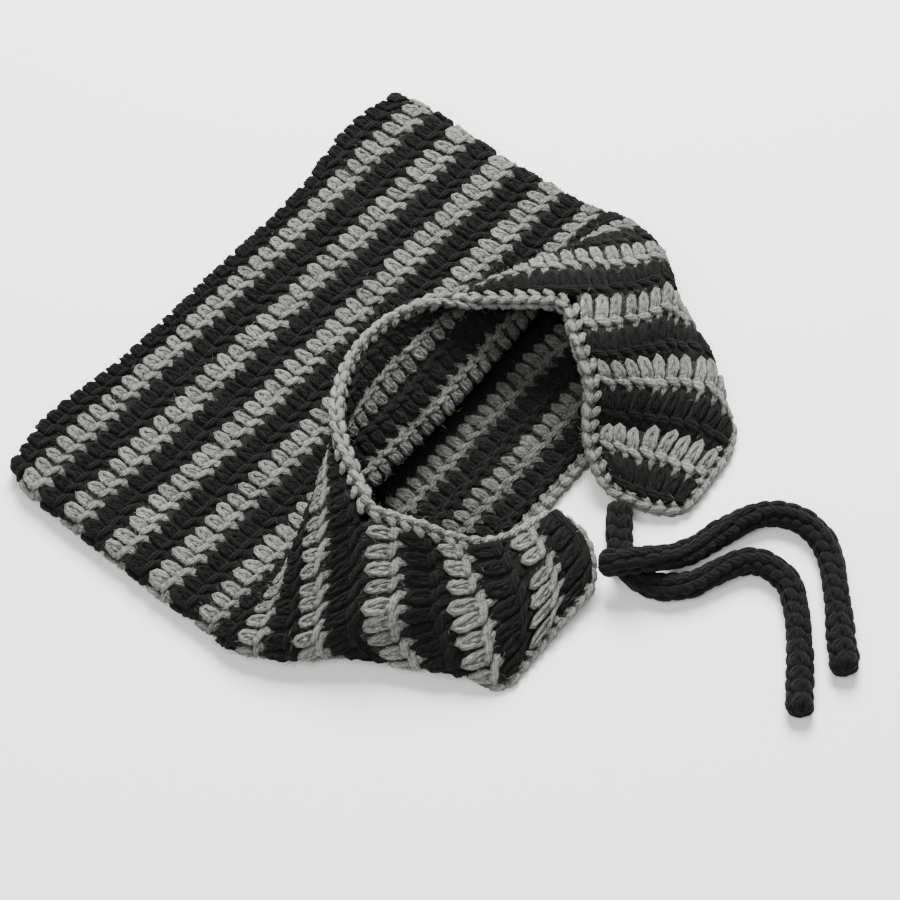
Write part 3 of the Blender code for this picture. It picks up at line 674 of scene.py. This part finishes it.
# And on the wrong side: a leaning arch, a strand in it, two across its foot, and the point
WRONG_SIDE = (
    (((1.5, 10.4, -1.0), (1.7, 7.0, -1.7), (1.75, 3.6, -1.7), (1.1, 1.7, -1.5),
      (-0.5, 2.9, -1.7), (-1.5, 5.4, -1.8), (-1.2, 8.4, -1.6), (-0.8, 10.6, -1.0)),
     2.5, 2.3, 8, 10),
    (((0.7, 2.6, -1.6), (0.2, 6.0, -2.0), (0.0, 10.0, -1.3)), 2.6, 2.1, 6, 6),
    (((4.2, 8.6, -1.1), (1.2, 9.8, -1.8), (-1.8, 11.0, -1.8), (-4.6, 12.4, -1.1)),
     3.6, 2.3, 7, 6, (1.0, 0.9)),
    (((-1.6, 9.6, -1.0), (1.2, 11.1, -1.6), (4.0, 12.2, -1.6), (6.6, 12.8, -1.0)),
     3.2, 2.0, 6, 5, (1.0, 0.9)),
    (((4.9, 11.0, -1.1), (3.7, 13.8, -1.6), (2.2, 17.0, -1.2)), 4.6, 1.9, 6, 5, (1.0, 0.12)),
)


def flat_bag(row, places):
    """The bag laid flat: front panel, round side fold, back panel."""
    reach = np.abs(places) * HALF_WIDTH
    inner = HALF_WIDTH - FOLD_RADIUS
    turn = np.clip((reach - FOLD_START) / FOLD_RADIUS, 0, math.pi)
    across = np.where(reach <= FOLD_START, reach * inner / FOLD_START,
                      inner + FOLD_RADIUS * np.sin(turn))
    on_back = reach >= FLAT_WIDTH - FOLD_START
    across = np.where(on_back, (FLAT_WIDTH - reach) * inner / FOLD_START, across)
    along = np.full_like(across, (MIDDLE_ROW - row) * ROW_HEIGHT)
    side = np.where(places < 0, -1.0, 1.0)
    return np.stack((side * across, along, FOLD_LEVEL + FOLD_RADIUS * np.cos(turn)), axis=-1)


def bag(row, places):
    """Points in the middle of the bag's cloth along one row line; the crown's edge is rolled."""
    level = max(row, CROWN_SHOULDER)
    both = []
    for sign, sections in ((1, RIGHT_SECTIONS), (-1, LEFT_SECTIONS)):
        rows = [section[0] for section in sections]
        full = len(sections[0][1])
        table = [moves + (STILL,) * (full - len(moves)) for _, moves in sections]
        moves = soft(rows, np.reshape(table, (len(rows), -1)), level, ROW_SOFTNESS)
        both.append(moves.reshape(-1, 3) * (sign * HALF_WIDTH, -ROW_HEIGHT, RIM_RISE))
    right, left = both
    spots = [-column for column in COLUMNS[:0:-1]] + list(COLUMNS)
    moves = list(left[::-1]) + list(right)
    # One more column past each end closes the line at the nape
    spots = [spots[-2] - WHOLE_ROUND] + spots + [spots[1] + WHOLE_ROUND]
    moves = [moves[-2]] + moves + [moves[1]]
    points = flat_bag(level, places) + soft(spots, moves, places, PLACE_SOFTNESS)
    if row < CROWN_SHOULDER:
        roll = (1 - row / CROWN_SHOULDER) * math.pi / 2
        points[:, 1] += CROWN_REACH * math.sin(roll)
        points[:, 2] = FOLD_LEVEL + (points[:, 2] - FOLD_LEVEL) * math.cos(roll)
    return points


def flap_places(sign, shares):
    """Places round the hat along an ear flap's root, from its front edge to its back edge."""
    return sign * (FLAP_FRONT + FLAP_WIDTH * np.asarray(shares))


def flap(sign, row, shares):
    """Points in the middle of an ear flap's cloth along one row line, front edge to back."""
    above = BAG_ROWS - FLAP_ROOT_ROWS
    roots = flap_places(sign, FLAP_COLUMNS)
    stack = [bag(above, roots), bag(BAG_ROWS, roots)]
    for _, entries in FLAPS[sign]:
        stack.append([
            (sign * across * HALF_WIDTH, (MIDDLE_ROW - down) * ROW_HEIGHT, up * RIM_RISE)
            for across, down, up in entries])
    rows = [above, BAG_ROWS] + [section[0] for section in FLAPS[sign]]
    stack = np.reshape(stack, (len(rows), -1))
    plain, root = (
        soft(FLAP_COLUMNS, soft(rows, stack, level, ROW_SOFTNESS).reshape(-1, 3), shares,
             PLACE_SOFTNESS / FLAP_WIDTH)
        for level in (row, BAG_ROWS)
    )
    leave = eased(min(max((row - BAG_ROWS) / FLAP_BLEND_ROWS, 0.0), 1.0))
    edge = bag(BAG_ROWS, flap_places(sign, shares))
    return plain + (edge - root) * (1 - leave)


def cloth_patch(first_row, last_row, places, line, closed):
    """A fine net of points in the cloth, each with the way out of it."""
    rows = np.arange(round((last_row - first_row) / ROW_STEP) + 1) * ROW_STEP + first_row
    points = np.array([line(row) for row in rows])
    if closed:
        padded = np.concatenate((points[:, -ROUND_REACH - 1:-1], points,
                                 points[:, 1:ROUND_REACH + 1]), axis=1)
    else:
        padded = np.pad(points, ((0, 0), (ROUND_REACH,) * 2, (0, 0)), mode="edge")
    round_way = padded[:, 2 * ROUND_REACH:] - padded[:, :-2 * ROUND_REACH]
    round_way = round_way * np.sign(places[-1] - places[0])
    padded = np.pad(points, ((DOWN_REACH,) * 2, (0, 0), (0, 0)), mode="edge")
    down_way = padded[2 * DOWN_REACH:] - padded[:-2 * DOWN_REACH]
    out = unit(np.cross(unit(down_way), unit(round_way)))
    return {"rows": rows, "places": places, "values": np.concatenate((points, out), axis=-1)}


def net_place(at, line, step):
    """The net's line just before a place, and the share of the way to the next one."""
    steps = np.clip((at - line[0]) / step, 0, len(line) - 1.001)
    before = steps.astype(int)
    return before, (steps - before)[..., None]


def on_cloth(patch, rows, places, heights=0.0):
    """Points on the cloth at these rows and places, so high above its middle."""
    rows, places, heights = np.broadcast_arrays(rows, places, heights)
    net = patch["places"]
    row, down = net_place(rows, patch["rows"], ROW_STEP)
    place, along = net_place(places, net, net[1] - net[0])
    values = patch["values"]
    read = (values[row, place] * (1 - down) * (1 - along)
            + values[row + 1, place] * down * (1 - along)
            + values[row, place + 1] * (1 - down) * along
            + values[row + 1, place + 1] * down * along)
    return read[..., :3] + unit(read[..., 3:]) * heights[..., None]


def counted_round(places):
    """The same places round the hat, counted from the forehead both ways."""
    return (places + WHOLE_ROUND / 2) % WHOLE_ROUND - WHOLE_ROUND / 2


bag_places = np.linspace(-WHOLE_ROUND / 2, WHOLE_ROUND / 2, BAG_POINTS)
bag_cloth = cloth_patch(-PAST_CROWN, BAG_ROWS + PAST_NECK, bag_places,
                        lambda row: bag(row, bag_places), True)
flap_shares = np.linspace(0.0, 1.0, FLAP_POINTS)
flap_cloth = {}
for sign in (1, -1):
    places = flap_places(sign, flap_shares)
    flap_cloth[sign] = cloth_patch(
        BAG_ROWS - FLAP_ROOT_ROWS, LAST_ROW, places,
        lambda row: bag(row, places) if row <= BAG_ROWS else flap(sign, row, flap_shares), False)


def stitch_pattern(strands, outer):
    """One side of a stitch, in shares of a stitch along the row and of a row, and in metres."""
    made = taken_pattern([add_strand(*strand) for strand in strands])
    made["height"] = made["points"][:, 2] * (1 if outer else -1)
    made["shade"] = 0.0 if outer else INSIDE_PAINTED_SHADE
    made["points"] = made["points"] * (MM, MM / ROW_HEIGHT, MM)
    return made


right_side = stitch_pattern(RIGHT_SIDE, True)
wrong_side = stitch_pattern(WRONG_SIDE, False)
# The last row has no points below it
right_side_end = stitch_pattern(RIGHT_SIDE[:-1], True)
wrong_side_end = stitch_pattern(WRONG_SIDE[:-1], False)


def spaced(patch, row, pitch):
    """Even places for stitches along a row, and how much place round the hat a metre is there."""
    places = patch["places"]
    lengths = lengths_along(on_cloth(patch, row, places))
    count = max(2, round(lengths[-1] / pitch))
    at = (np.arange(count) + 0.5) / count * lengths[-1]
    per_metre = np.abs(np.gradient(places, lengths)) * lengths[-1] / count / STITCH_PITCH
    return np.interp(at, lengths, places), np.interp(at, lengths, per_metre)


def stitch_row(patch, pattern, number, places, per_metre, seed):
    """Copies of a stitch side by side along a row, each a little different."""
    rng = np.random.default_rng(seed)
    shape = pattern["points"]
    each = (len(places), 1)
    lean = rng.normal(0.0, LEAN, each)
    size = rng.normal(1.0, SIZES, each)
    shift = rng.normal(0.0, SHIFT, each)
    stretch = rng.normal(1.0, STRETCH, each)
    down = (shape[:, 1] - 0.5) * stretch + 0.5 + rng.normal(0.0, SINK, each)
    along = (shape[:, 0] + (0.5 - shape[:, 1]) * lean * ROW_HEIGHT) * size + shift
    rise = shape[:, 2] * rng.normal(1.0, RISE, each)
    rise = rise + rng.normal(0.0, ROUGHNESS, rise.shape)
    along = along + rng.normal(0.0, ROUGHNESS, along.shape)
    spots = places[:, None] + along * per_metre[:, None]
    if patch is bag_cloth:
        spots = counted_round(spots)
    laid = on_cloth(patch, number - 1 + down, spots, rise)
    # Painted shade: deeper-lying yarn gets a lower tone, and the inner face lower still
    tone = TONE_PER_MM * pattern["height"] + rng.normal(0.0, TONE_UNEVEN, each)
    return laid_copies(pattern, laid, np.clip(tone - pattern["shade"], 0.0, 1.0))


def plain_layer(patch, number, places, closed):
    """The plain layer that backs the stitches of a row, closed all round."""
    own, other = ("black", "grey") if number % 2 else ("grey", "black")
    start, end = number - 1 + COLOUR_SHIFT[own], number + COLOUR_SHIFT[other]
    if number == LAST_ROW or (number == BAG_ROWS and closed):
        end = number
    if number == BAG_ROWS + 1:
        start = BAG_ROWS
    levels = np.linspace(start, end, 5)
    if number == 1:
        levels = np.array((0.0, 0.15, 0.3, 0.5, 0.75, end))
    rows = np.concatenate((levels, levels[::-1]))[:, None]
    heights = np.repeat((BASE_HALF, -BASE_HALF), len(levels))[:, None]
    # Painted shade: the plain layer under the stitches gets the lowest tone, the deep colour
    return wall_grid(on_cloth(patch, rows, places, heights), closed, True, (2.0, 3.2), 0.0)


# A mid grey mixed from paler and darker fibres: it looks flecked, and each stitch shows.
# Its darkest colour serves both its darker fibres and the painted shade between the stitches.
grey_wool = wool_yarn("grey_wool_yarn", "#20201F", "#5E5E5A", "#92928D", 0.04)
YARNS = {"black": (black_wool, "black_yarn"), "grey": (grey_wool, "grey_yarn")}

for number in range(1, LAST_ROW + 1):
    colour = "black" if number % 2 else "grey"
    wool, slot = YARNS[colour]
    row_name = f"row_{number:02d}_{colour}"
    shares = {}
    if number <= BAG_ROWS:
        places, per_metre = spaced(bag_cloth, number - 0.5, STITCH_PITCH)
        parts = [plain_layer(bag_cloth, number, bag_places[:-1:2], True)]
        # Where the flaps go on, the last row's stitches lie on the flaps' own cloth
        on_flaps = (np.abs(places) > FLAP_FRONT) & (np.abs(places) < FLAP_BACK)
        on_flaps &= number == BAG_ROWS
        for pattern, end_pattern, from_row in ((right_side, right_side_end, 1),
                                               (wrong_side, wrong_side_end, FIRST_INSIDE_ROW)):
            if number < from_row:
                continue
            seed = number * 10 + from_row
            parts.append(stitch_row(bag_cloth, end_pattern if number == BAG_ROWS else pattern,
                                    number, places[~on_flaps], per_metre[~on_flaps], seed))
            for sign in (1, -1):
                chosen = on_flaps & (places * sign > 0)
                if chosen.any():
                    parts.append(stitch_row(flap_cloth[sign], pattern, number, places[chosen],
                                            per_metre[chosen], seed + sign))
        shares[row_name] = parts
    else:
        for sign, side_name in ((1, "right"), (-1, "left")):
            patch = flap_cloth[sign]
            places, per_metre = spaced(patch, number - 0.5, FLAP_PITCHES[sign])
            parts = [plain_layer(patch, number, patch["places"][::2], False)]
            sides = (right_side, wrong_side)
            if number == LAST_ROW:
                sides = (right_side_end, wrong_side_end)
            for pattern in sides:
                parts.append(stitch_row(patch, pattern, number, places, per_metre,
                                        number * 10 + sign))
            shares[f"{side_name}_flap_{row_name}"] = parts
    for node, parts in shares.items():
        piece = add_piece(f"{node}_crochet", parts, wool, CLOTH_HAIR, number)
        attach(piece, "root")
        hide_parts(node)

# Edging
# A chain of the grey wool is crocheted on round the whole opening and the ear flaps. Its links lie
# in a V braid along the very edge of the cloth.

EDGING_WIDTH = 0.0056
EDGING_GAP = 0.0005     # between the cloth's last points and its inner edge
EDGING_LINK = 0.0064    # length of one link
EDGING_SIZES = 0.05     # how uneven its links' sizes are
EDGING_SHIFT = 0.0002   # and their places
EDGING_CORE = 0.0024    # radius of the plain core under them
CORE_AROUND = 8         # points round it
CORE_EVERY = 4          # a ring of them at every fourth point of the edge
# Painted shade: the edging's core, under its links, gets a low tone
EDGING_CORE_TONE = 0.2
UNDER_PAST = 0.0022     # at the flaps' lower edges it curls under them, so far inwards
UNDER_DOWN = 0.0016     # and so far down
LEFT_UNDER = 1.6        # the left flap's tip hides it more, by this factor
LEFT_UNDER_ROW = 17.5   # and its front edge does so from here on
FLAP_EDGE_START = 0.35  # a flap's side edges start so many rows below the bag's
PLACE_STEP = 0.01       # between points along the bag's edge, in half widths
TIP_POINTS = 40         # points along a flap's tip
EDGE_POINTS = 900       # points of the whole edge
CORNER_REACH = 2        # its corners are rounded over so many of them to both sides
LINE_REACH = 3          # the edging's own middle line over so many
UNDER_REACH = 12        # and the change to curling under over so many

# One link: along the edge, past it and out of the cloth in millimetres, with width, thickness,
# sides and rings. First its two legs in a V, then the feet that hold it on the cloth's two faces.
EDGING_STITCH = (
    (((-4.6, -0.3, 0.2), (-2.2, 1.4, 0.9), (1.0, 1.6, 2.1), (4.2, 0.3, 2.3)), 3.6, 3.2, 8, 8),
    (((-4.6, -0.3, -0.2), (-2.2, 1.4, -0.9), (1.0, 1.6, -2.1), (4.2, 0.3, -2.3)), 3.6, 3.2, 8, 8),
    (((2.8, 0.4, 1.6), (1.2, -0.9, 2.5), (-0.6, -2.4, 2.6), (-1.9, -4.0, 2.0)), 4.5, 2.4, 7, 6,
     (1.0, 0.6)),
    (((2.8, 0.4, -1.4), (1.2, -0.6, -2.2), (-0.4, -1.8, -2.3), (-1.2, -2.8, -1.7)), 3.8, 2.2, 7, 5,
     (1.0, 0.6)),
)

corner_room = EDGING_WIDTH / HALF_WIDTH
forehead = np.arange(-FLAP_FRONT + corner_room, FLAP_FRONT - corner_room, PLACE_STEP)
nape = np.arange(FLAP_BACK + corner_room, WHOLE_ROUND - FLAP_BACK - corner_room, PLACE_STEP)
flap_rows = np.arange(BAG_ROWS + FLAP_EDGE_START, LAST_ROW, ROW_STEP)
flap_round = np.linspace(FLAP_FRONT, FLAP_BACK, TIP_POINTS)


def edge_stretch(patch, rows, places, under=0.0):
    """A stretch of the cloth's edge, with the way out of the cloth, and if it curls under."""
    here = on_cloth(patch, rows, places)
    out = on_cloth(patch, rows, places, 1.0) - here
    return np.concatenate((here, out, np.broadcast_to(under, len(here))[:, None]), axis=-1)


edge = np.concatenate((
    edge_stretch(bag_cloth, BAG_ROWS, forehead),
    edge_stretch(flap_cloth[1], flap_rows, FLAP_FRONT),
    edge_stretch(flap_cloth[1], LAST_ROW, flap_round, 1.0),
    edge_stretch(flap_cloth[1], flap_rows[::-1], FLAP_BACK, 1.0),
    edge_stretch(bag_cloth, BAG_ROWS, counted_round(nape)),
    edge_stretch(flap_cloth[-1], flap_rows, -FLAP_BACK, 1.0),
    edge_stretch(flap_cloth[-1], LAST_ROW, -flap_round[::-1], LEFT_UNDER),
    edge_stretch(flap_cloth[-1], flap_rows[::-1], -FLAP_FRONT,
                 LEFT_UNDER * np.clip(flap_rows[::-1] - LEFT_UNDER_ROW, 0.0, 1.0)),
))


def even_loop(values):
    """The same closed line read at even steps of its first three columns, and its length."""
    closed = np.concatenate((values, values[:1]))
    lengths = lengths_along(closed[:, :3])
    at = np.arange(EDGE_POINTS) / EDGE_POINTS * lengths[-1]
    return read_line(lengths, closed, at), lengths[-1]


def softened_loop(values, reach):
    """The same closed line with its corners rounded over so many points to both sides."""
    total = sum(np.roll(values, step, axis=0) for step in range(-reach, reach + 1))
    return total / (2 * reach + 1)


edge = softened_loop(even_loop(edge)[0], CORNER_REACH)
edge_out = unit(edge[:, 3:6])
edge_along = unit(np.roll(edge[:, :3], -1, axis=0) - np.roll(edge[:, :3], 1, axis=0))
edge_past = unit(np.cross(edge_along, edge_out))
under = softened_loop(edge[:, 6:], UNDER_REACH)
edge_middle = (edge[:, :3] + edge_past * (EDGING_WIDTH / 2 + EDGING_GAP - UNDER_PAST * under)
               - edge_out * UNDER_DOWN * under)
edge_values = np.concatenate((edge_middle, edge_out, edge_past), axis=1)
edge_values, edge_length = even_loop(softened_loop(edge_values, LINE_REACH))
edge_closed = np.concatenate((edge_values, edge_values[:1]))
edge_steps = np.linspace(0.0, edge_length, EDGE_POINTS + 1)

edging_link = taken_pattern([add_strand(*strand) for strand in EDGING_STITCH])
link_count = round(edge_length / EDGING_LINK)
rng = np.random.default_rng(LAST_ROW)
shape = edging_link["points"] * MM
size = rng.normal(1.0, EDGING_SIZES, (link_count, 1))
spots = (np.arange(link_count)[:, None] * edge_length / link_count + shape[:, 0]
         + rng.normal(0.0, EDGING_SHIFT, (link_count, 1)))
read = read_line(edge_steps, edge_closed, spots % edge_length)
laid = (read[..., :3] + read[..., 3:6] * (shape[:, 2] * size)[..., None]
        + read[..., 6:] * (shape[:, 1] * size)[..., None])
laid = laid + rng.normal(0.0, ROUGHNESS, laid.shape)
# Painted light and shade: the yarn that lies furthest past the edge or off the cloth's two faces
# gets the lightest tone
height = np.maximum(edging_link["points"][:, 1], np.abs(edging_link["points"][:, 2]) - 0.8)
tone = 0.22 + 0.2 * height + rng.normal(0.0, TONE_UNEVEN, (link_count, 1))
links = laid_copies(edging_link, laid, np.clip(tone, 0.0, 1.0))
turn = np.arange(CORE_AROUND) / CORE_AROUND * 2 * math.pi
ring = edge_values[::CORE_EVERY, None, :]
ring = ring[..., :3] + EDGING_CORE * turned(ring[..., 3:6], ring[..., 6:], turn)
core = wall_grid(ring, True, True, (1.2, 3.0), EDGING_CORE_TONE)
edging = add_piece("edging_grey_chain", [core, links], grey_wool, CLOTH_HAIR, LAST_ROW + 1)
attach(edging, "root")
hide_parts("edging_grey")
